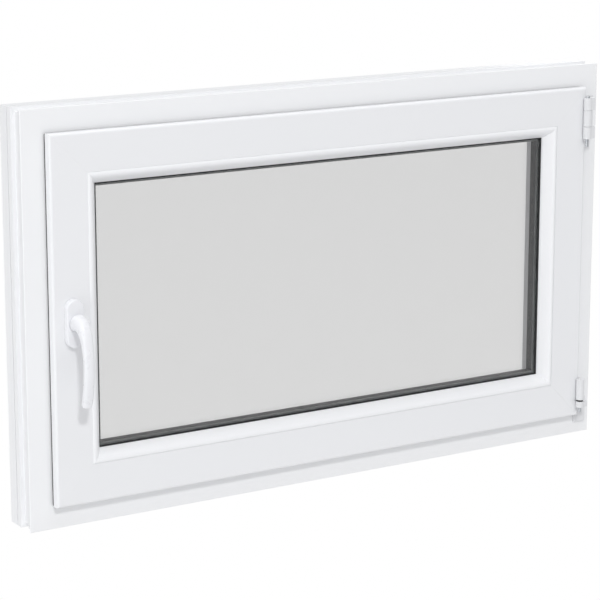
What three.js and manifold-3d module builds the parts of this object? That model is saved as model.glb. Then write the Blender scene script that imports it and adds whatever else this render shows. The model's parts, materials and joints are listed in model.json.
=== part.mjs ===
// Side-hung casement window with a double-glazed sash, seen from the room side.
// Millimetres. +X runs along the wall, +Y into the wall towards the outdoors, +Z up.
// The origin is on the frame's bottom face, midway along its width and midway through its depth.
// Profile outlines are drawn as (inward, depth): inward from the profile's outer edge towards the glass,
// depth from the profile's room-side face towards the outdoors.

import * as THREE from 'three';
import { mergeVertices } from 'three/addons/utils/BufferGeometryUtils.js';
import Module from 'manifold-3d';

const wasm = await Module();
wasm.setup();

// ---------- driving dimensions ----------

const windowWidth = 1000;
const windowHeight = 600;
const frameDepth = 64;
const sashDepth = 60;
const frameReveal = 34.5;      // frame left showing around the sash
const lipWidth = 17;           // overlap lip, from its edge to the sash's rebate wall
const lipThickness = 14;
const sealGap = 4;             // air gap between the lip's back and the frame face, and behind the sash
const hardwareGap = 12;        // air gap between the sash's rebate wall and the frame's rebate floor
const sashFaceWidth = 57;      // lip edge to glazing bead
const beadWidth = 18;
const beadLipDepth = 17;       // bead's glass edge behind the sash face
const outerWall = 2.8;
const web = 1.8;
const weldGap = 0.3;           // between mitred members, as wide as a trimmed weld seam
const fitGap = 0.3;            // between pieces that touch

const paneThickness = 4;
const cavityWidth = 14;
const glassGasket = 2;         // seal between bead and pane
const outerGasket = 3;         // seal between pane and the sash's outdoor flange
const packerHeight = 5;        // gap between the glass edge and the rebate floor
const sealantHeight = 10;
const spacerHeight = 7;

const axisInFromEdge = 3;      // hinge axis in from the sash's edge
const knuckleRadius = 6.5;
const knuckleGap = 1;          // knuckles in front of the sash face
const hingePinRadius = 3.2;
const pinClearance = 0.15;

const handleAxisFromLip = 30;
const leverWidth = 15.4;
const collarRadius = 10;
const spindleSize = 7;
const rodTravel = 18;          // lock rod stroke for a quarter turn of the handle
const camRadius = 4.5;

// ---------- derived places ----------

const sashProud = lipThickness + sealGap;
const halfWidth = windowWidth / 2;
const frameFaceY = -frameDepth / 2;
const sashFaceY = frameFaceY - sashProud;
const rebateFloor = frameReveal + lipWidth - hardwareGap;
const flangeEdge = rebateFloor + 22.5;
const flangeFace = sashDepth - sashProud + sealGap;
const glassLine = sashFaceWidth + beadWidth;
const glazingFloor = sashFaceWidth + 1.5;
const glassEdge = glazingFloor + packerHeight;
const paneFace = beadLipDepth + glassGasket;
const unitBack = paneFace + 2 * paneThickness + cavityWidth;
const outerFlange = unitBack + outerGasket;
const grooveMiddle = lipThickness + 13;
const midHeight = windowHeight / 2;
const handleX = -halfWidth + frameReveal + handleAxisFromLip;
const hingeX = halfWidth - frameReveal - axisInFromEdge;
const hingeY = sashFaceY - knuckleRadius - knuckleGap;

// ---------- finishes ----------

const whitePvc = { color: 0xf2f4f6, roughness: 0.32, metalness: 0 };
const whitePaint = { color: 0xf6f7f8, roughness: 0.28, metalness: 0 };
const blackRubber = { color: 0x1b1c1d, roughness: 0.75, metalness: 0 };
const zincSteel = { color: 0xb4b8bb, roughness: 0.38, metalness: 1 };
const clearGlass = { color: 0xd9dedb, roughness: 0.03, metalness: 0 };
const darkSpacer = { color: 0x3a3c3d, roughness: 0.55, metalness: 0 };
const bluePlastic = { color: 0x3b6ea5, roughness: 0.5, metalness: 0 };

const group = new THREE.Group();

// ---------- shape helpers ----------

// Outline through [x, y, corner radius] points; a corner with no radius stays sharp.
function outline(points, arcSteps = 4) {
  const path = [];
  points.forEach(([x, y, radius = 0], i) => {
    const corner = new THREE.Vector2(x, y);
    if (radius === 0) {
      path.push(corner);
      return;
    }
    const before = points[(i + points.length - 1) % points.length];
    const after = points[(i + 1) % points.length];
    const toBefore = new THREE.Vector2(before[0] - x, before[1] - y).normalize();
    const toAfter = new THREE.Vector2(after[0] - x, after[1] - y).normalize();
    const half = Math.acos(toBefore.dot(toAfter)) / 2;
    const reach = radius / Math.tan(half);
    const middle = toBefore.clone().add(toAfter).normalize();
    const centre = corner.clone().addScaledVector(middle, radius / Math.sin(half));
    const start = corner.clone().addScaledVector(toBefore, reach).sub(centre);
    const end = corner.clone().addScaledVector(toAfter, reach).sub(centre);
    const sweep = Math.atan2(start.cross(end), start.dot(end));
    for (let step = 0; step <= arcSteps; step += 1) {
      const turned = start.clone().rotateAround(new THREE.Vector2(), (sweep * step) / arcSteps);
      path.push(turned.add(centre));
    }
  });
  return path;
}

function rectangle(x0, y0, x1, y1) {
  return outline([[x0, y0], [x1, y0], [x1, y1], [x0, y1]]);
}

function shapeOf(edge, holes = []) {
  const shape = new THREE.Shape(edge);
  holes.forEach((hole) => shape.holes.push(new THREE.Path(hole)));
  return shape;
}

function box(x0, x1, y0, y1, z0, z1) {
  const solid = new THREE.BoxGeometry(x1 - x0, y1 - y0, z1 - z0);
  return solid.translate((x0 + x1) / 2, (y0 + y1) / 2, (z0 + z1) / 2);
}

// Cylinder or cone between two points of one axis: 'x', 'y' or 'z'.
function rod(axis, from, to, centre, radius, endRadius = radius, sides = 24) {
  const solid = new THREE.CylinderGeometry(endRadius, radius, to - from, sides);
  if (axis === 'x') solid.rotateZ(-Math.PI / 2);
  if (axis === 'z') solid.rotateX(Math.PI / 2);
  const place = { x: centre[0], y: centre[1], z: centre[2], [axis]: (from + to) / 2 };
  return solid.translate(place.x, place.y, place.z);
}

// ---------- joining and cutting ----------

function welded(geometry) {
  const bare = geometry.clone();
  bare.deleteAttribute('normal');
  bare.deleteAttribute('uv');
  return mergeVertices(bare, 1e-3);
}

function solidOf(geometry) {
  const merged = welded(geometry);
  return new wasm.Manifold(new wasm.Mesh({
    numProp: 3,
    vertProperties: Float32Array.from(merged.attributes.position.array),
    triVerts: Uint32Array.from(merged.index.array),
  }));
}

function geometryOf(solid) {
  const mesh = solid.getMesh();
  const geometry = new THREE.BufferGeometry();
  geometry.setAttribute('position', new THREE.BufferAttribute(mesh.vertProperties, 3));
  geometry.setIndex(new THREE.BufferAttribute(mesh.triVerts, 1));
  return geometry;
}

function joined(pieces) {
  return geometryOf(pieces.map(solidOf).reduce((sum, piece) => sum.add(piece)));
}

function cut(geometry, tools) {
  return geometryOf(tools.map(solidOf).reduce((rest, tool) => rest.subtract(tool), solidOf(geometry)));
}

// ---------- assembly helpers ----------

function place(name, geometry, finish) {
  const facets = geometry.index ? geometry.toNonIndexed() : geometry;
  facets.computeVertexNormals();
  const mesh = new THREE.Mesh(facets, new THREE.MeshStandardMaterial(finish));
  mesh.name = name;
  group.add(mesh);
}

// A bar along +X with 45 degree ends: the outline's inward axis becomes +Z and its depth becomes +Y.
function mitredBar(edge, holes, length, gap = weldGap / 2) {
  const bar = new THREE.ExtrudeGeometry(shapeOf(edge, holes), { depth: 1, bevelEnabled: false });
  const spots = bar.attributes.position;
  for (let i = 0; i < spots.count; i += 1) {
    const inward = spots.getX(i);
    const along = spots.getZ(i) > 0.5 ? inward + gap : length - inward - gap;
    spots.setXYZ(i, along, spots.getY(i), inward);
  }
  return welded(bar);
}

// Square-ended bar of the same kind, from one length along the member to another.
function straightBar(edge, holes, from, to) {
  const bar = new THREE.ExtrudeGeometry(shapeOf(edge, holes), { depth: 1, bevelEnabled: false });
  const spots = bar.attributes.position;
  for (let i = 0; i < spots.count; i += 1) {
    const inward = spots.getX(i);
    spots.setXYZ(i, spots.getZ(i) > 0.5 ? from : to, spots.getY(i), inward);
  }
  return welded(bar);
}

// The four sides of a rectangle inset from the window's edge: where each starts, how it turns, its length.
function sidesOf(inset) {
  const across = windowWidth - 2 * inset;
  const tall = windowHeight - 2 * inset;
  const right = halfWidth - inset;
  const top = windowHeight - inset;
  return {
    sill: { length: across, corner: [-right, 0, inset], turn: 0 },
    right: { length: tall, corner: [right, 0, inset], turn: -Math.PI / 2 },
    head: { length: across, corner: [right, 0, top], turn: Math.PI },
    left: { length: tall, corner: [-right, 0, top], turn: Math.PI / 2 },
  };
}

// Moves a piece built along one side, in (along, depth, inward), to its place in the window.
function onSide(geometry, side, faceY) {
  const [x, , z] = side.corner;
  return geometry.rotateY(side.turn).translate(x, faceY, z);
}

// Rectangular loop: from one inward distance to another, from one depth to another.
function loop(inset, inwardFrom, inwardTo, faceY, depthFrom, depthTo) {
  const edgeAt = (inward) => rectangle(
    -halfWidth + inset + inward,
    inset + inward,
    halfWidth - inset - inward,
    windowHeight - inset - inward,
  );
  const shape = shapeOf(edgeAt(inwardFrom), [edgeAt(inwardTo)]);
  const ring = new THREE.ExtrudeGeometry(shape, { depth: depthTo - depthFrom, bevelEnabled: false });
  return ring.rotateX(Math.PI / 2).translate(0, faceY + depthTo, 0);
}

const frameSides = sidesOf(0);
const sashSides = sidesOf(frameReveal);

// ---------- outer frame ----------

const channelFrom = 13;
const channelTo = 30.5;
const channelDepth = 6.5;
const edgeRecess = 3;
const frontEdge = 2.5;
const slotFrom = 40.5;
const slotTo = 43;
const frameEdge = outline([
  [0, 0, 1.2], [rebateFloor, 0, 1.2], [rebateFloor, 28], [rebateFloor - 3.5, 31],
  [rebateFloor - 3.5, flangeFace], [flangeEdge - 2, flangeFace], [flangeEdge, flangeFace + 2],
  [flangeEdge, frameDepth - 5, 1], [flangeEdge - 4, frameDepth, 1], [0, frameDepth, 1],
  [0, slotTo], [edgeRecess, slotTo], [edgeRecess, slotFrom], [0, slotFrom],
  [0, channelTo], [channelDepth, channelTo], [channelDepth, channelFrom],
  [edgeRecess, channelFrom], [edgeRecess, frontEdge], [0, frontEdge],
]);
const behindChannel = channelDepth + outerWall;
const frameSteel = { inwardFrom: behindChannel + 0.6, depthFrom: 14.1, depthTo: 39.9, wall: 2 };
frameSteel.inwardTo = rebateFloor - 3.5 - outerWall - 0.6;
const frameChambers = [
  rectangle(edgeRecess + outerWall, outerWall, rebateFloor - outerWall, channelFrom - web),
  rectangle(behindChannel, channelFrom + 0.5, rebateFloor - 3.5 - outerWall, slotFrom),
  rectangle(edgeRecess + outerWall, slotFrom + web, rebateFloor - 3.5 - outerWall, frameDepth - outerWall),
  rectangle(rebateFloor - 3.5, flangeFace + outerWall, flangeEdge - outerWall - 1, frameDepth - outerWall - 1.5),
];

// Two drain slots through the outdoor wall of the frame's sill, each behind a cap.
const drainAt = [250, windowWidth - 250];
const drainSlot = { length: 28, from: 14, to: 19 };
const drainSlots = drainAt.map((along) => box(
  along - drainSlot.length / 2,
  along + drainSlot.length / 2,
  frameDepth - outerWall - 2,
  frameDepth + 2,
  drainSlot.from,
  drainSlot.to,
));

function frameMember(name, side, tools = []) {
  const bar = mitredBar(frameEdge, frameChambers, side.length);
  const shaped = tools.length > 0 ? cut(bar, tools) : bar;
  place(name, onSide(shaped, side, frameFaceY), whitePvc);
}

frameMember('frame_head', frameSides.head);
frameMember('frame_sill', frameSides.sill, drainSlots);
frameMember('frame_left_jamb', frameSides.left);
frameMember('frame_right_jamb', frameSides.right);

function tube(part, from, to) {
  const { inwardFrom, inwardTo, depthFrom, depthTo, wall } = part;
  const edge = rectangle(inwardFrom, depthFrom, inwardTo, depthTo);
  const bore = rectangle(inwardFrom + wall, depthFrom + wall, inwardTo - wall, depthTo - wall);
  return straightBar(edge, [bore], from, to);
}

Object.entries(frameSides).forEach(([name, side]) => {
  const end = frameSteel.inwardTo + 6;
  place(`frame_steel_${name}`, onSide(tube(frameSteel, end, side.length - end), side, frameFaceY), zincSteel);
});

const stopSeal = loop(0, flangeEdge - 9, flangeEdge - 3, frameFaceY, flangeFace - sealGap + fitGap, flangeFace - fitGap);
place('frame_stop_seal', stopSeal, blackRubber);

['left', 'right'].forEach((name, i) => {
  const middle = drainAt[i] - halfWidth;
  const reach = drainSlot.length / 2 + 5;
  const back = frameDepth / 2;
  const plate = box(middle - reach, middle + reach, back + fitGap, back + 2.3, drainSlot.from - 5, drainSlot.to + 5);
  const hood = box(middle - reach + 2, middle + reach - 2, back + 2, back + 5, drainSlot.from - 1, drainSlot.to + 3);
  place(`drain_cap_${name}`, joined([plate, hood]), whitePvc);
});

// ---------- sash ----------

const grooveWide = { half: 8, depth: 3 };
const grooveDeep = { half: 6, depth: 10 };
const beadFoot = { from: 10.3, to: 14.7, reach: 2 };
const sashEdge = outline([
  [0, 0, 4], [sashFaceWidth - fitGap, 0], [sashFaceWidth - fitGap, beadFoot.from - fitGap],
  [sashFaceWidth - beadFoot.reach - fitGap, beadFoot.from - fitGap],
  [sashFaceWidth - beadFoot.reach - fitGap, beadFoot.to + fitGap],
  [glazingFloor, beadFoot.to + fitGap], [glazingFloor, outerFlange],
  [glassLine, outerFlange, 0.8], [glassLine, sashDepth - 4, 1], [glassLine - 3, sashDepth, 1],
  [lipWidth, sashDepth, 1.2],
  [lipWidth, grooveMiddle + grooveWide.half],
  [lipWidth + grooveWide.depth, grooveMiddle + grooveWide.half],
  [lipWidth + grooveWide.depth, grooveMiddle + grooveDeep.half],
  [lipWidth + grooveDeep.depth, grooveMiddle + grooveDeep.half],
  [lipWidth + grooveDeep.depth, grooveMiddle - grooveDeep.half],
  [lipWidth + grooveWide.depth, grooveMiddle - grooveDeep.half],
  [lipWidth + grooveWide.depth, grooveMiddle - grooveWide.half],
  [lipWidth, grooveMiddle - grooveWide.half],
  [lipWidth, lipThickness], [0, lipThickness, 1],
]);
const underGroove = lipWidth + grooveDeep.depth + outerWall;
const faceEnd = sashFaceWidth - fitGap - beadFoot.reach - outerWall;
const sashSteel = { inwardFrom: 40.5, depthFrom: 12.9, depthTo: 37.9, wall: 1.5 };
sashSteel.inwardTo = faceEnd - 0.6;
const steelChamberFrom = 12.3;
const steelChamberTo = 38.5;
const sashChambers = [
  rectangle(outerWall, outerWall + 1.2, lipWidth - web, lipThickness - outerWall),
  rectangle(lipWidth, outerWall, faceEnd, steelChamberFrom - web),
  rectangle(lipWidth + outerWall, steelChamberFrom + 0.5, underGroove - web, grooveMiddle - grooveWide.half - web),
  rectangle(underGroove, steelChamberFrom, faceEnd, steelChamberTo),
  rectangle(lipWidth + outerWall, steelChamberTo + web, glazingFloor - outerWall, sashDepth - outerWall),
  rectangle(glazingFloor, outerFlange + outerWall, glassLine - outerWall, sashDepth - outerWall - 1.6),
];

const gearbox = { from: lipWidth + 6.3, to: 39, half: 6.7, tall: 120 };
const screwSpacing = 43;
const screwHeights = [midHeight - screwSpacing / 2, midHeight + screwSpacing / 2];
const spindleHole = 6;
const grooveY = sashFaceY + grooveMiddle;
const gearboxPocket = box(
  handleX - handleAxisFromLip + lipWidth + 5,
  handleX - handleAxisFromLip + gearbox.to + 0.5,
  grooveY - gearbox.half - fitGap,
  grooveY + gearbox.half + fitGap,
  midHeight - gearbox.tall / 2 - 0.5,
  midHeight + gearbox.tall / 2 + 0.5,
);
const handleHoles = [
  rod('y', sashFaceY - 1, grooveY, [handleX, 0, midHeight], spindleHole),
  ...screwHeights.map((z) => rod('y', sashFaceY - 1, grooveY, [handleX, 0, z], 2.9)),
];

function sashMember(name, side, tools = []) {
  const bar = onSide(mitredBar(sashEdge, sashChambers, side.length), side, sashFaceY);
  place(name, tools.length > 0 ? cut(bar, tools) : bar, whitePvc);
}

sashMember('sash_head', sashSides.head);
sashMember('sash_sill', sashSides.sill);
sashMember('sash_left_stile', sashSides.left, [gearboxPocket, ...handleHoles]);
sashMember('sash_right_stile', sashSides.right);

Object.entries(sashSides).forEach(([name, side]) => {
  const end = sashSteel.inwardTo + 6;
  place(`sash_steel_${name}`, onSide(tube(sashSteel, end, side.length - end), side, sashFaceY), zincSteel);
});

// ---------- glazing ----------

// The bead's room face starts a little proud of the sash, then falls in one long curve to its lip.
const beadProud = 1.2;
const beadCurve = new THREE.CubicBezierCurve(
  new THREE.Vector2(sashFaceWidth + 3.2, -beadProud),
  new THREE.Vector2(sashFaceWidth + 8.5, -beadProud),
  new THREE.Vector2(glassLine - 5, 6),
  new THREE.Vector2(glassLine, beadLipDepth - 2),
);
const beadBack = beadLipDepth - fitGap;
const beadEdge = [
  new THREE.Vector2(sashFaceWidth, 0.6),
  new THREE.Vector2(sashFaceWidth + 1.2, -beadProud + 0.5),
  ...beadCurve.getPoints(9),
  new THREE.Vector2(glassLine, beadBack),
  new THREE.Vector2(glazingFloor + fitGap, beadBack),
  new THREE.Vector2(glazingFloor + fitGap, beadFoot.to),
  new THREE.Vector2(sashFaceWidth - beadFoot.reach, beadFoot.to),
  new THREE.Vector2(sashFaceWidth - beadFoot.reach, beadFoot.from),
  new THREE.Vector2(sashFaceWidth, beadFoot.from),
];
const beadChamber = outline([
  [sashFaceWidth + 2.3, 1.6], [sashFaceWidth + 5.8, 1.6], [glassLine - 8.1, 5.6],
  [glassLine - 2.7, beadBack - web], [glazingFloor + 1.9, beadBack - web],
]);

Object.entries(sashSides).forEach(([name, side]) => {
  const bead = mitredBar(beadEdge, [beadChamber], side.length);
  place(`bead_${name}`, onSide(bead, side, sashFaceY), whitePvc);
});

const sealOverlap = 2;         // how far the glazing seals show past the bead
const innerSeal = loop(
  frameReveal, glassLine - 4.5, glassLine + sealOverlap, sashFaceY, beadLipDepth, paneFace - fitGap,
);
place('inner_glazing_seal', innerSeal, blackRubber);
const outerSeal = loop(
  frameReveal, glassLine - 9, glassLine + sealOverlap, sashFaceY, unitBack + fitGap, outerFlange - fitGap,
);
place('outer_glazing_seal', outerSeal, blackRubber);

function pane(depth) {
  const inset = frameReveal + glassEdge;
  const y = sashFaceY + depth;
  return box(-halfWidth + inset, halfWidth - inset, y, y + paneThickness, inset, windowHeight - inset);
}
const cavityFrom = paneFace + paneThickness;
const cavityTo = cavityFrom + cavityWidth;
place('inner_pane', pane(paneFace), clearGlass);
place('outer_pane', pane(cavityTo), clearGlass);

// The spacer bar holds the panes apart and the sealant closes the unit's edge outside it.
const spacerEdge = glassEdge + sealantHeight;
const spacer = loop(
  frameReveal, spacerEdge, spacerEdge + spacerHeight, sashFaceY, cavityFrom + fitGap, cavityTo - fitGap,
);
place('spacer_bar', spacer, darkSpacer);
const sealant = loop(
  frameReveal, glassEdge, spacerEdge - fitGap, sashFaceY, cavityFrom + fitGap, cavityTo - fitGap,
);
place('edge_sealant', sealant, blackRubber);

const packerLength = 100;
const packerFromEnd = 150;
const packerSpots = {
  packer_sill_left: ['sill', packerFromEnd],
  packer_sill_right: ['sill', windowWidth - 2 * frameReveal - packerFromEnd - packerLength],
  packer_hinge_side: ['right', packerFromEnd],
  packer_handle_side: ['left', packerFromEnd],
};
Object.entries(packerSpots).forEach(([name, [sideName, from]]) => {
  const block = box(
    from,
    from + packerLength,
    beadLipDepth + 0.5,
    outerFlange - 1,
    glazingFloor + fitGap,
    glassEdge - fitGap,
  );
  place(name, onSide(block, sashSides[sideName], sashFaceY), bluePlastic);
});

// ---------- hinges ----------

const strapThickness = 2.5;
const strapEdgeX = halfWidth - frameReveal + 0.5;
const lipBackY = sashFaceY + lipThickness;
const rebateWallX = halfWidth - frameReveal - lipWidth;
const plateX = strapEdgeX + strapThickness + 0.8;

function knuckle(z0, z1) {
  return rod('z', z0, z1, [hingeX, hingeY, 0], knuckleRadius);
}

function pinBore(z0, z1) {
  return rod('z', z0 - 0.2, z1 + 0.2, [hingeX, hingeY, 0], hingePinRadius + pinClearance);
}

// Leaf on the sash: a knuckle, a strap around the lip's edge and a plate on the rebate wall behind it.
function sashLeaf(z0, z1, boreTo) {
  const outY = hingeY - 2;
  const innerX = rebateWallX + fitGap;
  return cut(joined([
    knuckle(z0, z1),
    box(hingeX, strapEdgeX + strapThickness, outY, outY + 4, z0, z1),
    box(strapEdgeX, strapEdgeX + strapThickness, outY, lipBackY + fitGap + strapThickness, z0, z1),
    box(innerX, strapEdgeX + 1, lipBackY + fitGap, lipBackY + fitGap + strapThickness, z0, z1),
    box(innerX, innerX + strapThickness, lipBackY + fitGap, frameFaceY + 30, z0, z1),
  ]), [pinBore(z0, boreTo)]);
}

// Leaf on the frame: a plate screwed to the frame face, and an arm out to each of its knuckles.
function frameLeaf(plateFrom, plateTo, knuckles) {
  const parts = [box(plateX, plateX + 22, frameFaceY - 3, frameFaceY - fitGap, plateFrom, plateTo)];
  knuckles.forEach(([z0, z1]) => {
    parts.push(knuckle(z0, z1));
    parts.push(box(hingeX, plateX + 5.5, hingeY - 3.5, hingeY + 3.5, z0, z1));
    parts.push(box(plateX, plateX + 5.5, hingeY - 3.5, frameFaceY - 1, z0, z1));
  });
  return cut(joined(parts), knuckles.map(([z0, z1]) => pinBore(z0, z1)));
}

const lowerHinge = { plateFrom: 18, frameFrom: 50, frameTo: 59.5, sashFrom: 62.5, sashTo: 96, pinFrom: 42, pinTo: 94 };
const lowerLeaf = frameLeaf(lowerHinge.plateFrom, lowerHinge.frameTo, [[lowerHinge.frameFrom, lowerHinge.frameTo]]);
place('lower_hinge_frame_leaf', lowerLeaf, whitePaint);
place('lower_hinge_sash_leaf', sashLeaf(lowerHinge.sashFrom, lowerHinge.sashTo, lowerHinge.pinTo), whitePaint);
const washer = rod('z', lowerHinge.frameTo + fitGap, lowerHinge.sashFrom - fitGap, [hingeX, hingeY, 0], 5.2);
place('lower_hinge_washer', cut(washer, [pinBore(lowerHinge.frameTo, lowerHinge.sashFrom)]), blackRubber);

const upperHinge = { pinFrom: 473, pinTo: 553, cuts: [486, 505, 531, 550] };
const [upperA, upperB, upperC, upperD] = upperHinge.cuts;
place('upper_hinge_frame_leaf', frameLeaf(upperA, upperD, [[upperA, upperB], [upperC, upperD]]), whitePaint);
place('upper_hinge_sash_leaf', sashLeaf(upperB + 0.4, upperC - 0.4, upperC), whitePaint);

// Each pin ends in a narrower foot, under the lowest knuckle.
function hingePin(from, footTop, to) {
  return joined([
    rod('z', from, footTop, [hingeX, hingeY, 0], hingePinRadius - 0.7),
    rod('z', footTop - 1, to, [hingeX, hingeY, 0], hingePinRadius),
  ]);
}
place('lower_hinge_pin', hingePin(lowerHinge.pinFrom, lowerHinge.frameFrom, lowerHinge.pinTo), zincSteel);
place('upper_hinge_pin', hingePin(upperHinge.pinFrom, upperA, upperHinge.pinTo), zincSteel);

// ---------- seal on the sash lip ----------

const lipSeal = loop(frameReveal, 0.5, rebateFloor - frameReveal - 0.7, sashFaceY, lipThickness + fitGap, sashProud - 0.4);
const strapNotches = [[lowerHinge.sashFrom, lowerHinge.sashTo], [upperB, upperC]].map(([z0, z1]) => box(
  rebateWallX,
  strapEdgeX + 2,
  lipBackY - 1,
  lipBackY + 2 * fitGap + strapThickness,
  z0 - 1,
  z1 + 1,
));
place('sash_lip_seal', cut(lipSeal, strapNotches), blackRubber);

// ---------- lock rods, faceplates and keeps ----------

const faceplate = { from: lipWidth + 0.2, to: lipWidth + grooveWide.depth - fitGap, half: grooveWide.half - fitGap };
const lockRod = { from: lipWidth + grooveWide.depth + fitGap, half: 5 };
lockRod.to = gearbox.from - 0.5;
const camTip = rebateFloor - frameReveal + 2.9;
const cornerReach = 62;
const rodClearance = rodTravel + 2;

// A side's lock gear, measured along the side: where it starts and ends and where its cams stand.
// Every rod slides back towards the start of its side when the handle is turned.
const gear = {
  left: { from: cornerReach, to: windowHeight - 2 * frameReveal - cornerReach, cams: [115, 415] },
  head: { from: 480, to: windowWidth - 2 * frameReveal - cornerReach, cams: [620] },
  sill: { from: cornerReach, to: 450, cams: [310] },
};

Object.entries(gear).forEach(([name, { from, to, cams }]) => {
  const side = sashSides[name];
  const plate = box(from, to, grooveMiddle - faceplate.half, grooveMiddle + faceplate.half, faceplate.from, faceplate.to);
  const slots = cams.map((along) => box(
    along - rodTravel - camRadius - 1,
    along + camRadius + 1,
    grooveMiddle - camRadius - 0.6,
    grooveMiddle + camRadius + 0.6,
    faceplate.from - 1,
    faceplate.to + 1,
  ));
  place(`faceplate_${name}`, onSide(cut(plate, slots), side, sashFaceY), zincSteel);

  const strip = box(
    from + rodClearance,
    to - rodClearance,
    grooveMiddle - lockRod.half,
    grooveMiddle + lockRod.half,
    lockRod.from,
    lockRod.to,
  );
  const pegs = cams.map((along) => rod('z', camTip, lockRod.to - 0.5, [along, grooveMiddle, 0], camRadius));
  place(`lock_rod_${name}`, onSide(joined([strip, ...pegs]), side, sashFaceY), zincSteel);
});

// L-shaped corner drives carry the rods' motion round the two handle-side corners.
function cornerDrive(z, up) {
  const legs = { from: faceplate.from, to: lipWidth + grooveDeep.depth - fitGap, half: grooveDeep.half - fitGap };
  const x = -halfWidth + frameReveal;
  const edge = (inward) => z + up * inward;
  const spans = (a, b) => [Math.min(a, b), Math.max(a, b)];
  const reach = cornerReach - 1;
  const [lowA, highA] = spans(edge(legs.from), edge(reach));
  const [lowB, highB] = spans(edge(legs.from), edge(legs.to));
  const y = [grooveY - legs.half, grooveY + legs.half];
  return joined([
    box(x + legs.from, x + legs.to, ...y, lowA, highA),
    box(x + legs.from, x + reach, ...y, lowB, highB),
  ]);
}
place('corner_drive_top', cornerDrive(windowHeight - frameReveal, -1), zincSteel);
place('corner_drive_bottom', cornerDrive(frameReveal, 1), zincSteel);

// A keep on the frame's rebate floor for each cam: a base plate with a hook that stops short of the cam.
const keepGap = 3;
const keepSpots = {
  keep_left_upper: ['left', gear.left.cams[0]],
  keep_left_lower: ['left', gear.left.cams[1]],
  keep_head: ['head', gear.head.cams[0]],
  keep_sill: ['sill', gear.sill.cams[0]],
};
Object.entries(keepSpots).forEach(([name, [sideName, cam]]) => {
  const along = cam + frameReveal;
  const floor = rebateFloor + fitGap;
  const hookFrom = along + camRadius + keepGap;
  const base = box(along - 28, hookFrom + 22, 1, 26, floor, floor + 1.6);
  const hook = box(hookFrom, hookFrom + 20, 1, 4, floor + 1, frameReveal + lipWidth - 2);
  place(name, onSide(joined([base, hook]), frameSides[sideName], frameFaceY), zincSteel);
});

// ---------- handle ----------

const rosetteWidth = 27;
const rosetteHeight = 69;
const rosetteThickness = 10;

function stadium(width, height) {
  const radius = width / 2;
  const straight = height / 2 - radius;
  const shape = new THREE.Shape();
  shape.absarc(0, straight, radius, 0, Math.PI, false);
  shape.absarc(0, -straight, radius, Math.PI, 2 * Math.PI, false);
  return shape;
}

// A stadium plate against the sash face, from one distance in front of it to another.
function stadiumPlate(width, height, near, far, bevel = 0) {
  const plate = new THREE.ExtrudeGeometry(stadium(width - 2 * bevel, height - 2 * bevel), {
    depth: far - near - bevel,
    bevelEnabled: bevel > 0,
    bevelThickness: bevel,
    bevelSize: bevel,
    bevelSegments: 3,
    curveSegments: 12,
  });
  return plate.rotateX(Math.PI / 2).translate(handleX, sashFaceY - near, midHeight);
}

const baseTop = 3;
const coverWall = 1.5;
const baseHoles = [
  rod('y', sashFaceY - 6, sashFaceY + 2, [handleX, 0, midHeight], spindleHole),
  ...screwHeights.map((z) => rod('y', sashFaceY - 6, sashFaceY + 2, [handleX, 0, z], 2.9)),
];
const base = stadiumPlate(rosetteWidth - 2 * coverWall - 1, rosetteHeight - 2 * coverWall - 1, fitGap, baseTop);
place('rosette_base', cut(base, baseHoles), zincSteel);

const coverPocket = stadiumPlate(
  rosetteWidth - 2 * coverWall,
  rosetteHeight - 2 * coverWall,
  -1,
  rosetteThickness - coverWall,
);
const coverHole = rod('y', sashFaceY - 20, sashFaceY + 2, [handleX, 0, midHeight], collarRadius + 0.3);
const coverBlank = stadiumPlate(rosetteWidth, rosetteHeight, fitGap, rosetteThickness, 2.2);
const coverTrim = box(handleX - 40, handleX + 40, sashFaceY - fitGap, sashFaceY + 10, 0, windowHeight);
place('rosette_cover', cut(coverBlank, [coverPocket, coverHole, coverTrim]), whitePaint);

['lower', 'upper'].forEach((name, i) => {
  const centre = [handleX, 0, screwHeights[i]];
  const screw = joined([
    rod('y', sashFaceY - baseTop - 3, sashFaceY - baseTop - fitGap, centre, 4.4),
    rod('y', sashFaceY - baseTop - 1, grooveY + 4, centre, 2.4),
  ]);
  place(`handle_screw_${name}`, screw, zincSteel);
});

const gearboxX = handleX - handleAxisFromLip;
const gearboxCase = box(
  gearboxX + gearbox.from,
  gearboxX + gearbox.to,
  grooveY - gearbox.half,
  grooveY + gearbox.half,
  midHeight - gearbox.tall / 2,
  midHeight + gearbox.tall / 2,
);
const gearboxHoles = [
  rod('y', grooveY - 10, grooveY + 10, [handleX, 0, midHeight], spindleHole),
  ...screwHeights.map((z) => rod('y', grooveY - 10, grooveY + 10, [handleX, 0, z], 2.7)),
];
place('lock_gearbox', cut(gearboxCase, gearboxHoles), zincSteel);

// The lever as matched points of its side view, (out from the sash face, height above the handle axis):
// its room side, its sash side, and its width there. A round collar turns in the cover; past the cover
// the lever swells into a hub set a little above the axis, bends over it and hangs down flat.
const hubFrom = rosetteThickness + 0.6;
const leverStations = [
  [[3.6, collarRadius], [3.6, -collarRadius], 2 * collarRadius],
  [[hubFrom, collarRadius], [hubFrom, -collarRadius], 2 * collarRadius],
  [[hubFrom + 3.4, 14], [hubFrom + 3.4, -8.6], 22],
  [[21, 15.2], [20.5, -8], 22.2],
  [[28.6, 13.6], [25.4, -9.2], 21.4],
  [[35.2, 9.6], [29.8, -13], 19.6],
  [[40.8, 3], [33.6, -18.4], 18],
  [[45.2, -6], [36.8, -25], 16.8],
  [[48.5, -17.5], [39, -33.5], 16],
  [[50.6, -32], [40.6, -43], leverWidth],
  [[51.6, -48], [41.3, -54.5], leverWidth],
  [[51.4, -64.5], [41, -67], leverWidth],
  [[49.9, -81], [39.6, -80.5], leverWidth],
  [[47, -98], [36.7, -95.6], leverWidth - 0.3],
  [[43, -113], [32.8, -109.4], leverWidth - 0.8],
];

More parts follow.
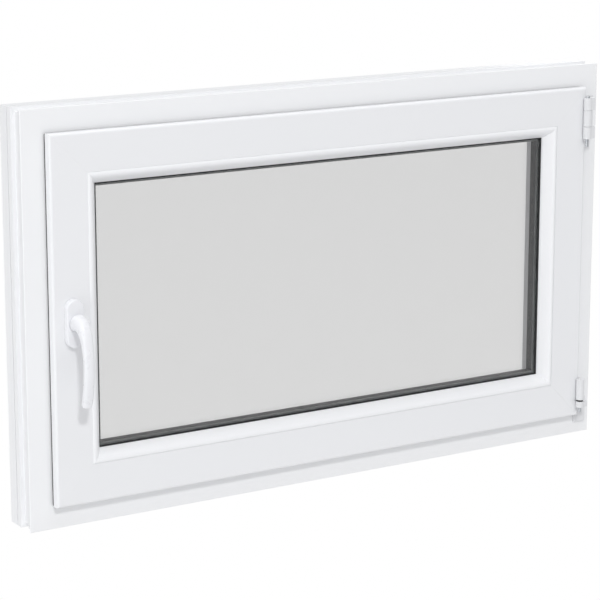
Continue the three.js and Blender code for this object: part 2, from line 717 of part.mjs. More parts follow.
// Smooth solid through the stations, each section an oval that grows squarer along the lever.
function lofted(stations, steps, sides) {
  const curveOf = (points) => new THREE.CatmullRomCurve3(points, false, 'centripetal');
  const roomSide = curveOf(stations.map(([p]) => new THREE.Vector3(0, -p[0], p[1])));
  const sashSide = curveOf(stations.map(([, p]) => new THREE.Vector3(0, -p[0], p[1])));
  const widths = curveOf(stations.map(([, , width], i) => new THREE.Vector3(width / 2, 0, i * 10)));
  const spots = [];
  const faces = [];
  for (let step = 0; step <= steps; step += 1) {
    const t = step / steps;
    const near = roomSide.getPoint(t);
    const far = sashSide.getPoint(t);
    const middle = near.clone().add(far).multiplyScalar(0.5);
    const reach = near.clone().sub(middle);
    const half = widths.getPoint(t).x;
    const squareness = 1 - 0.32 * Math.min(1, t * 2);
    for (let side = 0; side < sides; side += 1) {
      const angle = (2 * Math.PI * side) / sides;
      const across = Math.sign(Math.cos(angle)) * Math.abs(Math.cos(angle)) ** squareness;
      const out = Math.sign(Math.sin(angle)) * Math.abs(Math.sin(angle)) ** squareness;
      spots.push(half * across, middle.y + reach.y * out, middle.z + reach.z * out);
      if (step < steps) {
        const here = step * sides + side;
        const next = step * sides + ((side + 1) % sides);
        faces.push(here, next, next + sides, here, next + sides, here + sides);
      }
    }
  }
  const last = steps * sides;
  for (let side = 1; side < sides - 1; side += 1) {
    faces.push(0, side + 1, side);
    faces.push(last, last + side, last + side + 1);
  }
  const solid = new THREE.BufferGeometry();
  solid.setAttribute('position', new THREE.Float32BufferAttribute(spots, 3));
  solid.setIndex(faces);
  return solid;
}

const spindleHalf = spindleSize / 2;
const spindleTip = 20;
function squareBar(half, outFrom, endY) {
  return box(handleX - half, handleX + half, sashFaceY - outFrom, endY, midHeight - half, midHeight + half);
}
const lever = lofted(leverStations, 56, 28).translate(handleX, sashFaceY, midHeight);
place('handle_lever', cut(lever, [squareBar(spindleHalf + 0.15, spindleTip + 0.5, sashFaceY)]), whitePaint);
place('handle_spindle', squareBar(spindleHalf, spindleTip, grooveY + gearbox.half - 0.5), zincSteel);

export default group;
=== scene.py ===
"""Looks for a side-hung casement window: white uPVC bars, double glazing, lever handle and lock gear.

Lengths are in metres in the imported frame: +X along the wall, +Y out through it, +Z up. Sizes written in
millimetres go through mm().
"""

import json
import logging
import math
from dataclasses import dataclass, field
from enum import Enum

import bmesh
import bpy
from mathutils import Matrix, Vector

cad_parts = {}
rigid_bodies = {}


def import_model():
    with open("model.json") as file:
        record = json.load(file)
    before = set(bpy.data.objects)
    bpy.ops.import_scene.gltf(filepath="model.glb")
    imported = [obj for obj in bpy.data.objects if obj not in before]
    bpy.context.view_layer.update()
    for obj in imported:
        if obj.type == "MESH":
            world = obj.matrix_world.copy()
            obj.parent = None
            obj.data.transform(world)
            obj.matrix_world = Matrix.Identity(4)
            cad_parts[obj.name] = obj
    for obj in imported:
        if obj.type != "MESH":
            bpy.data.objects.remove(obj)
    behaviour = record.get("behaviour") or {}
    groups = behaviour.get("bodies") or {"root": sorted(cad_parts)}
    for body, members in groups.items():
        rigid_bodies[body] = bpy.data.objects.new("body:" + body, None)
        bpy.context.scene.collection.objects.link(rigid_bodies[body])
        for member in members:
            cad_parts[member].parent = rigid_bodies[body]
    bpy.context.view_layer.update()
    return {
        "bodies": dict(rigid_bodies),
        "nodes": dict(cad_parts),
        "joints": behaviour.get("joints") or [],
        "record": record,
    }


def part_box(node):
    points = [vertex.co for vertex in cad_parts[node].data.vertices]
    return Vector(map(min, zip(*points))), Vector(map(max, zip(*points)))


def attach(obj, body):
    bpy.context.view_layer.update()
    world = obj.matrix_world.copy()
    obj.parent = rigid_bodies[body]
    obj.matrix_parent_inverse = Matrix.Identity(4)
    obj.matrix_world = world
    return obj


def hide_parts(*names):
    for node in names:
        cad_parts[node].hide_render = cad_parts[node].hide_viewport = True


log = logging.getLogger("casement_window")

# Noise is rarely far from its middle, so the ramps run between these two values.
NOISE_DETAIL = 3.0
NOISE_ROUGHNESS = 0.55
TINT_FROM, TINT_TO = 0.35, 0.65
GLOSS_FROM, GLOSS_TO = 0.3, 0.7
UPVC_IOR = 1.54
# Meshes: points nearer than this are one, faces flatter than this are one, and corners sharper
# than this are edges.
MERGE_MM = 0.004
FLAT_DEG = 0.2
CORNER_DEG = 40.0
NORMAL_WEIGHT = 80


def mm(value: float) -> float:
    """Millimetres to metres."""
    return value / 1000.0


def linear(hex_colour: str) -> tuple[float, float, float, float]:
    """Turns an sRGB hex colour into the linear RGBA that a shader takes.

    Args:
        hex_colour: six hex digits, with or without a leading hash.

    Returns:
        Linear red, green, blue and an alpha of 1.
    """
    digits = hex_colour.lstrip("#")
    channels = [int(digits[i : i + 2], 16) / 255.0 for i in (0, 2, 4)]
    lit = [c / 12.92 if c <= 0.04045 else ((c + 0.055) / 1.055) ** 2.4 for c in channels]
    return (lit[0], lit[1], lit[2], 1.0)


# ---------- finishes ----------


class Grain(Enum):
    """Which way a bar was drawn through its die, as pattern stretch along X, Y and Z."""

    ALONG_X = (0.02, 1.0, 1.0)
    ALONG_Z = (1.0, 1.0, 0.02)
    EVEN = (1.0, 1.0, 1.0)


def add_node(tree: bpy.types.NodeTree, kind: str, settings: dict, links: dict) -> bpy.types.Node:
    """Adds one shader node.

    Args:
        tree: the node tree to add to.
        kind: Blender's node type name.
        settings: attributes by name, and socket values by (socket name or index).
        links: output sockets by the name or index of the input that each one feeds.

    Returns:
        The new node.
    """
    node = tree.nodes.new(kind)
    for key, value in settings.items():
        if isinstance(key, str) and hasattr(node, key):
            setattr(node, key, value)
        else:
            node.inputs[key].default_value = value
    for key, source in links.items():
        tree.links.new(source, node.inputs[key])
    return node


@dataclass(frozen=True)
class Finish:
    """A surface: its colour and its shade, gloss and texture, each with a real size.

    Attributes:
        name: the material's name, after the real one.
        colour: sRGB hex of the surface.
        shade: sRGB hex of its slightly different patches.
        patch_mm: size of those patches.
        roughness: lowest and highest roughness.
        gloss_mm: size of the gloss variation.
        relief_mm: height of the surface texture.
        texture_mm: width of one grain of the texture.
        metallic: 1 for bare metal.
        ior: index of refraction, left alone on metals.
        grain: the way the texture is drawn out.
    """

    name: str
    colour: str
    shade: str
    patch_mm: float
    roughness: tuple[float, float]
    gloss_mm: float
    relief_mm: float
    texture_mm: float
    metallic: float = 0.0
    ior: float = 1.5
    grain: Grain = Grain.EVEN

    def build(self) -> bpy.types.Material:
        """Makes the material, with its node tree."""
        made = bpy.data.materials.new(self.name)
        made.use_nodes = True
        tree = made.node_tree
        shader = tree.nodes["Principled BSDF"]
        shader.inputs["Metallic"].default_value = self.metallic
        if self.metallic == 0.0:
            shader.inputs["IOR"].default_value = self.ior
        place = add_node(tree, "ShaderNodeTexCoord", {}, {}).outputs["Object"]
        self.tint(tree, shader, place)
        self.polish(tree, shader, place)
        self.emboss(tree, shader, place)
        return made

    def pattern(
        self, tree: bpy.types.NodeTree, place: bpy.types.NodeSocket, size_mm: float
    ) -> bpy.types.NodeSocket:
        """Noise of a real size, drawn out along the grain.

        Args:
            tree: the node tree.
            place: the object coordinates.
            size_mm: width of one patch across the grain.

        Returns:
            The noise value, 0 to 1.
        """
        per_metre = 1.0 / mm(size_mm)
        scale = tuple(per_metre * stretch for stretch in self.grain.value)
        spot = add_node(tree, "ShaderNodeMapping", {"Scale": scale}, {"Vector": place})
        noise = add_node(
            tree,
            "ShaderNodeTexNoise",
            {"Scale": 1.0, "Detail": NOISE_DETAIL, "Roughness": NOISE_ROUGHNESS},
            {"Vector": spot.outputs[0]},
        )
        return noise.outputs[0]

    def tint(self, tree: bpy.types.NodeTree, shader: bpy.types.Node, place: bpy.types.NodeSocket) -> None:
        """Mixes the two colours over broad patches.

        Args:
            tree: the node tree.
            shader: the surface shader.
            place: the object coordinates.
        """
        ramp = add_node(tree, "ShaderNodeValToRGB", {}, {"Fac": self.pattern(tree, place, self.patch_mm)})
        ramp.color_ramp.elements[0].position = TINT_FROM
        ramp.color_ramp.elements[0].color = linear(self.shade)
        ramp.color_ramp.elements[1].position = TINT_TO
        ramp.color_ramp.elements[1].color = linear(self.colour)
        tree.links.new(ramp.outputs["Color"], shader.inputs["Base Color"])

    def polish(self, tree: bpy.types.NodeTree, shader: bpy.types.Node, place: bpy.types.NodeSocket) -> None:
        """Varies the gloss between its two limits.

        Args:
            tree: the node tree.
            shader: the surface shader.
            place: the object coordinates.
        """
        low, high = self.roughness
        gloss = add_node(
            tree,
            "ShaderNodeMapRange",
            {"From Min": GLOSS_FROM, "From Max": GLOSS_TO, "To Min": low, "To Max": high},
            {"Value": self.pattern(tree, place, self.gloss_mm)},
        )
        tree.links.new(gloss.outputs[0], shader.inputs["Roughness"])

    def emboss(self, tree: bpy.types.NodeTree, shader: bpy.types.Node, place: bpy.types.NodeSocket) -> None:
        """Adds the fine surface texture as a bump.

        Args:
            tree: the node tree.
            shader: the surface shader.
            place: the object coordinates.
        """
        bump = add_node(
            tree,
            "ShaderNodeBump",
            {"Strength": 1.0, "Distance": mm(self.relief_mm)},
            {"Height": self.pattern(tree, place, self.texture_mm)},
        )
        tree.links.new(bump.outputs[0], shader.inputs["Normal"])


@dataclass(frozen=True)
class ClearGlass(Finish):
    """Float glass: smooth, and clear enough to see through."""

    def build(self) -> bpy.types.Material:
        """Makes the glass: its tint is even, and only the gloss varies, where it has been wiped."""
        made = bpy.data.materials.new(self.name)
        made.use_nodes = True
        tree = made.node_tree
        shader = tree.nodes["Principled BSDF"]
        shader.inputs["Base Color"].default_value = linear(self.colour)
        shader.inputs["IOR"].default_value = self.ior
        shader.inputs["Transmission Weight"].default_value = 1.0
        self.polish(tree, shader, add_node(tree, "ShaderNodeTexCoord", {}, {}).outputs["Object"])
        return made


def extruded(part: str, colour: str, shade: str, roughness: tuple[float, float]) -> dict[Grain, Finish]:
    """The two finishes of one kind of bar, which differ only in the way that the bar runs.

    Args:
        part: frame, sash or bead.
        colour: sRGB hex of the surface.
        shade: sRGB hex of its slightly different patches.
        roughness: lowest and highest roughness.

    Returns:
        The finish for each run of the draw lines.
    """
    runs = {Grain.ALONG_X: "across", Grain.ALONG_Z: "upright"}
    return {
        grain: Finish(
            f"extruded_white_upvc_{part}_{run}", colour, shade, 180.0, roughness, 60.0, 0.002, 3.0,
            ior=UPVC_IOR, grain=grain,
        )
        for grain, run in runs.items()
    }


# Extruded uPVC: titanium white, satin from the die, with faint draw lines every few millimetres.
# The sash's bars are painted a shade darker than the frame's, and the beads a shade brighter than the sash's:
# painted shade and painted light, as all three are one white uPVC. The beads are also glossier than both.
BAR_FINISHES = {
    "frame": extruded("frame", "F2F3F4", "F1F2F4", (0.36, 0.44)),
    # Painted shade: the sash's colour is a touch greyer than the frame's, though it is the same uPVC.
    "sash": extruded("sash", "ECEDEF", "EBECEE", (0.36, 0.44)),
    # Painted light: the beads' colour is brighter than the sash's, though it is the same uPVC.
    "bead": extruded("bead", "F2F3F5", "F1F2F4", (0.3, 0.38)),
}
# Moulded white plastic: the drain caps, a touch duller than the extruded bars.
MOULDED_WHITE = Finish(
    "moulded_white_plastic", "ECEEEF", "E9EBEC", 30.0, (0.34, 0.42), 8.0, 0.01, 0.6, ior=1.5,
)
# Powder coat on die-cast metal: smooth and bright, with a fine orange peel about 2 mm across.
POWDER_COAT = Finish("white_powder_coat", "EDEEF1", "EBECEF", 40.0, (0.26, 0.34), 12.0, 0.002, 2.0, ior=1.5)
# Lacquered hinge leaves: sprayed to match the bars, and duller than the handle.
HINGE_LACQUER = Finish("white_hinge_lacquer", "E2E3E5", "DFE0E2", 20.0, (0.42, 0.5), 8.0, 0.004, 1.5, ior=1.5)
# Butyl line where the spacer meets the glass: smooth mid grey, squeezed flat against the pane.
BUTYL = Finish("grey_butyl_line", "8E9292", "868A8A", 14.0, (0.4, 0.5), 6.0, 0.005, 2.0, ior=1.52)
# EPDM seal: matt black rubber, finely pitted, with a dusty bloom in places.
EPDM = Finish("black_epdm_rubber", "17181A", "202123", 25.0, (0.6, 0.75), 6.0, 0.03, 0.8, ior=1.52)
# Pressed steel, bright zinc plated: cool grey metal with rolling marks and cloudy gloss.
ZINC_PLATE = Finish(
    "bright_zinc_plated_steel", "C6C9CC", "B4B8BC", 9.0, (0.26, 0.42), 5.0, 0.006, 0.5, metallic=1.0,
)
# Warm-edge spacer: matt dark plastic film over a thin steel back.
WARM_EDGE = Finish("dark_warm_edge_spacer", "2B2D2E", "333536", 12.0, (0.5, 0.62), 5.0, 0.01, 0.7, ior=1.5)
# Polysulphide edge sealant: dull near-black, trowelled a little unevenly.
POLYSULPHIDE = Finish(
    "polysulphide_edge_sealant", "1F2122", "28292B", 15.0, (0.55, 0.7), 6.0, 0.08, 4.0, ior=1.5,
)
# Moulded packer: blue polypropylene with a slight sheen.
BLUE_PACKER = Finish("blue_polypropylene", "2F63A0", "2A5A94", 20.0, (0.38, 0.5), 6.0, 0.01, 0.7, ior=1.49)
# Float glass: flat and clear, with a light grey cast and a film so thin that only its gloss shows it.
FLOAT_GLASS = ClearGlass(
    "clear_float_glass", "EAEAEA", "EAEAEA", 200.0, (0.0, 0.006), 90.0, 0.0, 90.0, ior=1.52,
)


@dataclass
class Paintbox:
    """Builds each finish once and hands it out."""

    made: dict[str, bpy.types.Material] = field(default_factory=dict)

    def get(self, finish: Finish) -> bpy.types.Material:
        """The material for a finish."""
        if finish.name not in self.made:
            self.made[finish.name] = finish.build()
        return self.made[finish.name]


# ---------- workshop ----------


def deselect_all() -> None:
    """Leaves nothing selected and no edit mode open."""
    if bpy.context.object is not None and bpy.context.object.mode != "OBJECT":
        bpy.ops.object.mode_set(mode="OBJECT")
    bpy.ops.object.select_all(action="DESELECT")


def take(piece: bpy.types.Object) -> None:
    """Selects one piece and makes it active."""
    deselect_all()
    piece.select_set(True)
    bpy.context.view_layer.objects.active = piece


def apply_modifier(piece: bpy.types.Object, kind: str, **settings: object) -> None:
    """Adds a modifier to a piece and applies it.

    Args:
        piece: the piece.
        kind: the modifier type.
        settings: the modifier's own settings.
    """
    take(piece)
    modifier = piece.modifiers.new(kind.lower(), kind)
    for key, value in settings.items():
        setattr(modifier, key, value)
    bpy.ops.object.modifier_apply(modifier=modifier.name)


def edit_all(piece: bpy.types.Object) -> None:
    """Opens a piece in edit mode with everything selected."""
    take(piece)
    bpy.ops.object.mode_set(mode="EDIT")
    bpy.ops.mesh.select_all(action="SELECT")


def settle(piece: bpy.types.Object) -> None:
    """Applies a piece's place, turn and size, so that it sits at the origin."""
    take(piece)
    bpy.ops.object.transform_apply(location=True, rotation=True, scale=True)


@dataclass
class Assembly:
    """The loaded window: its CAD nodes, and which body and material slot each has.

    Attributes:
        nodes: CAD objects by name.
        bodies: body name by node.
        slots: material slot by node.
        paint: the materials.
    """

    nodes: dict[str, bpy.types.Object]
    bodies: dict[str, str]
    slots: dict[str, str]
    paint: Paintbox

    @classmethod
    def from_frame(cls, frame: dict) -> "Assembly":
        """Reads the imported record.


        Returns:
            The assembly.
        """
        record = frame["record"]
        members = record["behaviour"]["bodies"].items()
        bodies = {node: body for body, names in members for node in names}
        slots = {row["node"]: row["material_slot"] for row in record["subparts"]}
        return cls(frame["nodes"], bodies, slots, Paintbox())

    def dress(self, finish: Finish, *names: str) -> None:
        """Gives CAD nodes a material and leaves their shape alone.

        Args:
            finish: the surface.
            names: the nodes.
        """
        for name in names:
            data = self.nodes[name].data
            data.materials.clear()
            data.materials.append(self.paint.get(finish))
            log.info("dressed %s as %s", name, finish.name)

    def register(self, piece: bpy.types.Object, finish: Finish, body: str) -> None:
        """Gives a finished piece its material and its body.

        Args:
            piece: the piece, at the origin.
            finish: the surface.
            body: the CAD body it moves with.
        """
        piece.data.materials.clear()
        piece.data.materials.append(self.paint.get(finish))
        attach(piece, body)
        log.info("%s: %d faces on %s", piece.name, len(piece.data.polygons), body)

    def refine(
        self, node: str, finish: Finish, edge_mm: float, smooth_deg: float = 35.0, segments: int = 2,
        close: Vector | None = None, press_mm: float = 0.0,
    ) -> bpy.types.Object:
        """Stands a finished copy in for a CAD node: merged, its corners rounded, its curves shaded smooth.

        Args:
            node: the CAD node.
            finish: the surface.
            edge_mm: radius put on sharp corners.
            smooth_deg: faces meeting at less than this are one curve.
            segments: faces across each rounded corner.
            close: how far each half of a mitred bar is drawn out to meet its neighbour.
            press_mm: how far a bar is pressed outwards, away from the glass.

        Returns:
            The new piece.
        """
        source = self.nodes[node]
        corner = math.radians(max(CORNER_DEG, smooth_deg))
        piece = bpy.data.objects.new(f"{node}_finished", source.data.copy())
        bpy.context.scene.collection.objects.link(piece)
        edit_all(piece)
        bpy.ops.mesh.remove_doubles(threshold=mm(MERGE_MM))
        bpy.ops.mesh.dissolve_limited(angle_limit=math.radians(FLAT_DEG))
        if close is not None:
            self.stretch(piece, close)
        if press_mm:
            self.press(piece, mm(press_mm))
        bpy.ops.object.mode_set(mode="OBJECT")
        apply_modifier(
            piece, "BEVEL", width=mm(edge_mm), segments=segments, limit_method="ANGLE",
            angle_limit=corner, use_clamp_overlap=True,
        )
        take(piece)
        bpy.ops.object.shade_smooth_by_angle(angle=corner)
        apply_modifier(piece, "WEIGHTED_NORMAL", keep_sharp=True, weight=NORMAL_WEIGHT)
        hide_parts(node)
        self.register(piece, finish, self.bodies[node])
        return piece

    def press(self, piece: bpy.types.Object, reach: float) -> None:
        """Spreads a bead outwards from the middle of the glass, by the same distance along X and Z.

        Args:
            piece: the bead, in edit mode.
            reach: how far its outer edge moves.
        """
        low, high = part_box("edge_sealant")
        half = (high - low) / 2
        bpy.ops.mesh.select_all(action="SELECT")
        bpy.ops.transform.resize(
            value=(1 + reach / half.x, 1, 1 + reach / half.z), center_override=(low + high) / 2
        )

    @staticmethod
    def stretch(piece: bpy.types.Object, reach: Vector) -> None:
        """Moves each end of an open mesh away from its middle.

        Args:
            piece: the piece, in edit mode.
            reach: how far, along the one axis that is not zero.
        """
        axis = max(range(3), key=lambda k: abs(reach[k]))
        mesh = bmesh.from_edit_mesh(piece.data)
        places = [vertex.co[axis] for vertex in mesh.verts]
        middle = (min(places) + max(places)) / 2
        for sign in (-1.0, 1.0):
            for vertex in mesh.verts:
                vertex.select = (vertex.co[axis] - middle) * sign > 0
            mesh.select_flush_mode()
            bmesh.update_edit_mesh(piece.data)
            bpy.ops.transform.translate(value=reach * sign)


# ---------- sub-assemblies ----------


@dataclass
class Bars:
    """The mitred bars: four of the frame, four of the sash and four glazing beads.

    Attributes:
        edge_mm: radius left on the bars' sharp corners by the die.
        bead_edge_mm: radius on the beads' corners, which close against the sash.
        bead_press_mm: how far the beads are pressed outwards, until they meet the sash.
        draw_out_mm: how far each end goes to close its mitre to a weld line.
        across: the bars that lie level.
        upright: the bars that stand.
    """

    edge_mm: float = 0.35
    bead_edge_mm: float = 0.12
    bead_press_mm: float = 0.26
    draw_out_mm: float = 0.14
    across: tuple[str, ...] = ("frame_head", "frame_sill", "sash_head", "sash_sill", "bead_head", "bead_sill")
    upright: tuple[str, ...] = (
        "frame_left_jamb", "frame_right_jamb",
        "sash_left_stile", "sash_right_stile",
        "bead_left", "bead_right",
    )

    def build(self, window: Assembly) -> None:
        """Finishes all twelve bars."""
        reach = mm(self.draw_out_mm)
        runs = (
            (self.across, Grain.ALONG_X, Vector((reach, 0, 0))),
            (self.upright, Grain.ALONG_Z, Vector((0, 0, reach))),
        )
        for nodes, grain, close in runs:
            for node in nodes:
                self.finish(window, node, BAR_FINISHES[node.split("_")[0]][grain], close)

    def finish(self, window: Assembly, node: str, finish: Finish, close: Vector) -> None:
        """Finishes one bar; a bead is also pressed out against the sash.

        Args:
            window: the assembly.
            node: the bar's CAD node.
            finish: its surface.
            close: how far each half is drawn out to close the mitres.
        """
        if node.startswith("bead_"):
            window.refine(node, finish, self.bead_edge_mm, close=close, press_mm=self.bead_press_mm)
        else:
            window.refine(node, finish, self.edge_mm, close=close)


@dataclass
class Seals:
    """The black seals: round lips on the sash and frame, and the two that hold the glass."""

    lip_radius_mm: float = 1.2
    glazing_radius_mm: float = 0.6

    def build(self, window: Assembly) -> None:
        """Rounds and dresses the seals."""
        for node in ("sash_lip_seal", "frame_stop_seal"):
            window.refine(node, EPDM, self.lip_radius_mm, segments=3)
        for node in ("inner_glazing_seal", "outer_glazing_seal"):
            window.refine(node, EPDM, self.glazing_radius_mm, segments=3)


@dataclass
class GlassUnit:
    """Two panes, the spacer between them, the sealant round their edge and the packers under them."""

    arris_mm: float = 0.4
    facing_pane: float = 0.9

    def build(self, window: Assembly) -> None:
        """Finishes the glass unit."""
        for node in ("inner_pane", "outer_pane"):
            window.refine(node, FLOAT_GLASS, self.arris_mm, segments=1)
        spacer = window.refine("spacer_bar", WARM_EDGE, 0.5)
        self.line_with_butyl(spacer, window.paint.get(BUTYL))
        window.refine("edge_sealant", POLYSULPHIDE, 0.4)
        packers = [node for node in window.nodes if node.startswith("packer_")]
        for node in sorted(packers):
            window.refine(node, BLUE_PACKER, 0.5)

    def line_with_butyl(self, spacer: bpy.types.Object, butyl: bpy.types.Material) -> None:
        """Gives the spacer's two faces against the panes their butyl line.

        Args:
            spacer: the finished spacer.
            butyl: the material.
        """
        spacer.data.materials.append(butyl)
        for face in spacer.data.polygons:
            if abs(face.normal.y) > self.facing_pane:
                face.material_index = 1


@dataclass
class Handle:
    """The lever, its rosette, and what is under the rosette."""

    tip_mm: float = 1.3
    cover_edge_mm: float = 0.35

    def build(self, window: Assembly) -> None:
        """Finishes the handle."""
        window.refine("handle_lever", POWDER_COAT, self.tip_mm, smooth_deg=52.0, segments=4)
        window.refine("rosette_cover", POWDER_COAT, self.cover_edge_mm, smooth_deg=42.0)
        window.refine("rosette_base", ZINC_PLATE, 0.3)
        window.refine("handle_spindle", ZINC_PLATE, 0.3)
        for node in ("handle_screw_lower", "handle_screw_upper"):
            window.refine(node, ZINC_PLATE, 0.4)


@dataclass
class Hinges:
    """Two hinges: coated leaves, steel pins and the dark bearing washer."""

    leaf_edge_mm: float = 0.7

    def build(self, window: Assembly) -> None:
        """Finishes the hinges."""
        for place in ("lower", "upper"):
            window.refine(f"{place}_hinge_frame_leaf", HINGE_LACQUER, self.leaf_edge_mm, segments=3)
            window.refine(f"{place}_hinge_sash_leaf", HINGE_LACQUER, self.leaf_edge_mm, segments=3)
            window.refine(f"{place}_hinge_pin", ZINC_PLATE, 0.4)
        window.refine("lower_hinge_washer", EPDM, 0.3)


@dataclass
class LockGear:
    """Faceplates, lock rods, corner drives, gearbox and the keeps on the frame."""

    edge_mm: float = 0.3

    def build(self, window: Assembly) -> None:
        """Finishes the lock gear."""
        starts = ("faceplate_", "lock_rod_", "corner_drive_", "keep_", "lock_gearbox")
        for node in sorted(name for name in window.nodes if name.startswith(starts)):
            window.refine(node, ZINC_PLATE, self.edge_mm)


@dataclass
class Hidden:
    """Steel sections inside the hollow bars, and the caps over the drain slots."""

    def build(self, window: Assembly) -> None:
        """Finishes the hidden steel and the drain caps."""
        steels = sorted(node for node in window.nodes if "_steel_" in node)
        window.dress(ZINC_PLATE, *steels)
        for side in ("left", "right"):
            window.refine(f"drain_cap_{side}", MOULDED_WHITE, 0.6, segments=3)


@dataclass
class Screw:
    """A countersunk cross-head screw, seen from its head.

    Attributes:
        head_mm: radius of the head.
        height_mm: how far the head stands out.
        slot_long, slot_wide: the cross slot, as shares of the head's radius.
        slot_deep: the slot's full height, as a share of the head's, half of it above the head.
        rim: the rounding of the rim, as a share of the head's radius.
        sides: flats round the head.
    """

    head_mm: float = 3.2
    height_mm: float = 0.5
    slot_long: float = 1.35
    slot_wide: float = 0.26
    slot_deep: float = 1.2
    rim: float = 0.12
    sides: int = 24

    def model(self, name: str) -> bpy.types.Object:
        """Models one screw head at the origin, pointing up.

        Args:
            name: the piece's name.

        Returns:
            The screw.
        """
        deselect_all()
        bpy.ops.mesh.primitive_cylinder_add(
            vertices=self.sides, radius=mm(self.head_mm), depth=mm(2 * self.height_mm)
        )
        head = bpy.context.active_object
        head.name = name
        slots = []
        for turned in (0.0, math.pi / 2):
            deselect_all()
            bpy.ops.mesh.primitive_cube_add(size=1.0, rotation=(0, 0, turned))
            slot = bpy.context.active_object
            slot.scale = (
                mm(self.slot_long * self.head_mm),
                mm(self.slot_wide * self.head_mm),
                mm(self.slot_deep * self.height_mm),
            )
            slot.location.z = mm(self.height_mm)
            settle(slot)
            slots.append(slot)
        for slot in slots:
            apply_modifier(head, "BOOLEAN", operation="DIFFERENCE", object=slot, solver="EXACT")
            bpy.data.objects.remove(slot)
        apply_modifier(head, "BEVEL", width=mm(self.rim * self.head_mm), segments=2, limit_method="ANGLE")
        take(head)
        bpy.ops.object.shade_smooth_by_angle(angle=math.radians(CORNER_DEG))
        return head


@dataclass
class Screws:
    """Rows of screws in the faceplates and the keeps.

    Attributes:
        screw: the screw that is copied.
        keep_plate_mm: thickness of a keep's plate, under its hook.
        keep_spots_mm: the two screws of a keep, from its end.
        inset_mm: a faceplate's end screws, from its ends.
    """

    screw: Screw = field(default_factory=Screw)
    keep_plate_mm: float = 1.6
    keep_spots_mm: tuple[float, float] = (7.0, 21.0)
    inset_mm: float = 9.0

    def build(self, window: Assembly) -> None:
        """Places every screw, joined into one piece for each plate that they hold."""
        pattern = self.screw.model("screw_pattern")
        for node in ("faceplate_left", "faceplate_head", "faceplate_sill"):
            self.row(window, pattern, node, 3)
        for node in ("keep_left_upper", "keep_left_lower", "keep_head", "keep_sill"):
            self.row(window, pattern, node, 2)
        bpy.data.objects.remove(pattern)

    def row(self, window: Assembly, pattern: bpy.types.Object, node: str, count: int) -> None:
        """Copies the screw along one plate.

        Args:
            window: the assembly.
            pattern: the screw to copy.
            node: the plate's CAD node.
            count: how many screws.
        """
        low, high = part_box(node)
        size = high - low
        along = 0 if size.x > size.z else 2
        keep = node.startswith("keep_")
        middle = (low + high) / 2
        outward = self.outward(node, middle, keep)
        face = self.face(low, high, outward, keep)
        copies = []
        for step in range(count):
            screw = bpy.data.objects.new(f"{node}_screw_{step}", pattern.data.copy())
            bpy.context.scene.collection.objects.link(screw)
            spot = middle.copy()
            spot[along] = self.spot(low[along], high[along], step, count, keep)
            for axis in range(3):
                if outward[axis]:
                    spot[axis] = face
            screw.location = spot
            screw.rotation_mode = "QUATERNION"
            screw.rotation_quaternion = outward.to_track_quat("Z", "Y")
            copies.append(screw)
        deselect_all()
        for screw in copies:
            screw.select_set(True)
        bpy.context.view_layer.objects.active = copies[0]
        bpy.ops.object.join()
        row = bpy.context.active_object
        row.name = f"{node}_screws"
        settle(row)
        window.register(row, ZINC_PLATE, window.bodies[node])

    @staticmethod
    def outward(node: str, middle: Vector, keep: bool) -> Vector:
        """Which way the plate's open face points: keeps face the glass, faceplates face away from it."""
        sign = 1.0 if keep else -1.0
        if "left" in node:
            return Vector((sign, 0, 0))
        return Vector((0, 0, sign if "sill" in node else -sign))

    def face(self, low: Vector, high: Vector, outward: Vector, keep: bool) -> float:
        """Where the plate's open face lies along outward."""
        axis = max(range(3), key=lambda k: abs(outward[k]))
        plate = mm(self.keep_plate_mm) if keep else high[axis] - low[axis]
        if outward[axis] > 0:
            return low[axis] + plate
        return high[axis] - plate

    def spot(self, low: float, high: float, step: int, count: int, keep: bool) -> float:
        """Where one screw sits along its plate."""
        if keep:
            return low + mm(self.keep_spots_mm[step])
        inset = mm(self.inset_mm)
        return low + inset + (high - low - 2 * inset) * step / (count - 1)


# ---------- studio ----------


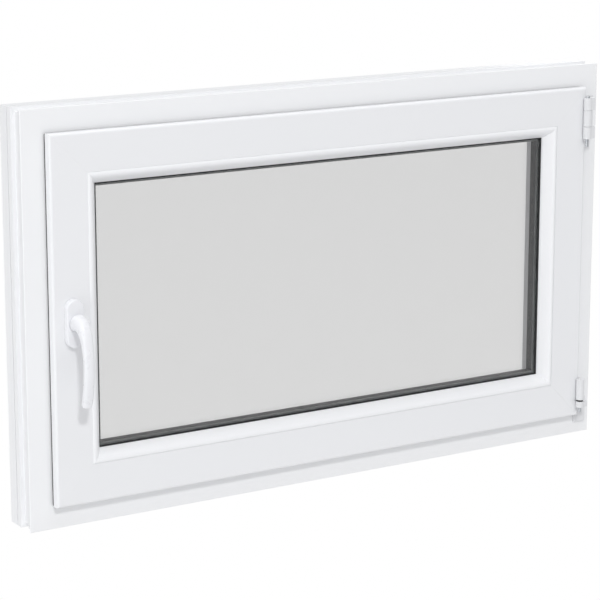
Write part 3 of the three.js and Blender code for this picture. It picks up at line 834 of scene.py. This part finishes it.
@dataclass
class Studio:
    """Floor, sky, soft lights and camera.

    Attributes:
        floor_drop: the floor's distance below the window, which is held in a wall.
        floor_reach: side of the square floor.
        sky: brightness of the white surroundings.
        key: power of the soft key from the upper left.
        top: power of the overhead softbox.
        left: power of the fill that lights the left jamb's edge.
        behind: power of the fill that lights the outside and the right jamb's edge.
        aim: the spot that every lamp points at, the window's middle.
        camera_spot: where the camera stands.
        heading_deg: how far the camera turns right of straight ahead.
        dip_deg: how far it looks down.
        lens: its focal length, in millimetres.
    """

    floor_drop: float = 0.9
    floor_reach: float = 60.0
    sky: float = 0.5
    key: float = 218.0
    top: float = 160.0
    left: float = 116.0
    behind: float = 90.0
    aim: Vector = field(default_factory=lambda: Vector((0, 0, 0.3)))
    camera_spot: Vector = field(default_factory=lambda: Vector((-1.8066, -2.8358, 1.0297)))
    heading_deg: float = 32.025
    dip_deg: float = 12.719
    lens: float = 137.3

    def build(self) -> None:
        """Sets up the studio."""
        self.lay_floor()
        self.light_sky()
        self.soft_light("key", self.key, 0.8, Vector((-2.43, -6.34, 5.42)))
        self.soft_light("overhead", self.top, 5.8, Vector((0.0, -0.6, 6.3)))
        self.soft_light("left_fill", self.left, 3.4, Vector((-7.5, -1.0, 0.6)))
        self.soft_light("behind_fill", self.behind, 3.4, Vector((6.0, 4.6, 1.2)))
        self.set_camera()
        bpy.context.scene.view_settings.view_transform = "Standard"

    def lay_floor(self) -> None:
        """Lays one pale floor under everything."""
        deselect_all()
        bpy.ops.mesh.primitive_plane_add(size=self.floor_reach, location=(0, 0, -self.floor_drop))
        floor = bpy.context.active_object
        floor.name = "studio_floor"
        paint = bpy.data.materials.new("matt_studio_white")
        paint.use_nodes = True
        tree = paint.node_tree
        tree.nodes.clear()
        matt = add_node(tree, "ShaderNodeBsdfDiffuse", {"Color": linear("F4F4F4")}, {})
        lit = add_node(tree, "ShaderNodeEmission", {"Color": linear("FFFFFF"), "Strength": 1.0}, {})
        shown = {0: self.seen(tree), 1: matt.outputs[0], 2: lit.outputs[0]}
        mix = add_node(tree, "ShaderNodeMixShader", {}, shown)
        add_node(tree, "ShaderNodeOutputMaterial", {}, {0: mix.outputs[0]})
        floor.data.materials.append(paint)

    def light_sky(self) -> None:
        """White surroundings: plain white to look at, softer as light."""
        world = bpy.data.worlds.new("studio_sky")
        bpy.context.scene.world = world
        world.use_nodes = True
        tree = world.node_tree
        tree.nodes.clear()
        light = add_node(tree, "ShaderNodeBackground", {"Color": linear("FDFDFF"), "Strength": self.sky}, {})
        white = add_node(tree, "ShaderNodeBackground", {"Color": linear("FFFFFF"), "Strength": 1.0}, {})
        shown = {0: self.seen(tree), 1: light.outputs[0], 2: white.outputs[0]}
        mix = add_node(tree, "ShaderNodeMixShader", {}, shown)
        add_node(tree, "ShaderNodeOutputWorld", {}, {0: mix.outputs[0]})

    @staticmethod
    def seen(tree: bpy.types.NodeTree) -> bpy.types.NodeSocket:
        """1 where the surroundings are looked at, straight or through glass, and 0 where they give light."""
        path = add_node(tree, "ShaderNodeLightPath", {}, {})
        either = add_node(
            tree, "ShaderNodeMath", {"operation": "MAXIMUM"},
            {0: path.outputs["Is Camera Ray"], 1: path.outputs["Is Transmission Ray"]},
        )
        return either.outputs[0]

    def soft_light(self, name: str, power: float, width: float, spot: Vector) -> None:
        """Hangs one square softbox aimed at the window's middle.

        Args:
            name: the light's name.
            power: watts.
            width: side of the square.
            spot: where it hangs.
        """
        lamp = bpy.data.lights.new(name, "AREA")
        lamp.energy = power
        lamp.size = width
        holder = bpy.data.objects.new(name, lamp)
        holder.location = spot
        holder.rotation_euler = (self.aim - spot).to_track_quat("-Z", "Y").to_euler()
        bpy.context.scene.collection.objects.link(holder)

    def set_camera(self) -> None:
        """Sets the camera where the view is taken from, left of the window and above it."""
        lens = bpy.data.cameras.new("view")
        lens.lens = self.lens
        lens.sensor_width = 36.0
        lens.clip_end = 200.0
        camera = bpy.data.objects.new("view", lens)
        camera.location = self.camera_spot
        tilt = math.pi / 2 - math.radians(self.dip_deg)
        camera.rotation_euler = (tilt, 0, -math.radians(self.heading_deg))
        bpy.context.scene.collection.objects.link(camera)
        bpy.context.scene.camera = camera


def main() -> None:
    """Builds the window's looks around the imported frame, sub-assembly by sub-assembly."""
    logging.basicConfig(level=logging.INFO, format="%(name)s: %(message)s")
    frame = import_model()
    window = Assembly.from_frame(frame)
    parts = (Bars(), Seals(), GlassUnit(), Handle(), Hinges(), LockGear(), Hidden(), Screws())
    for part in parts:
        log.info("building %s", type(part).__name__)
        part.build(window)
    Studio().build()


if __name__ == "__main__":
    main()
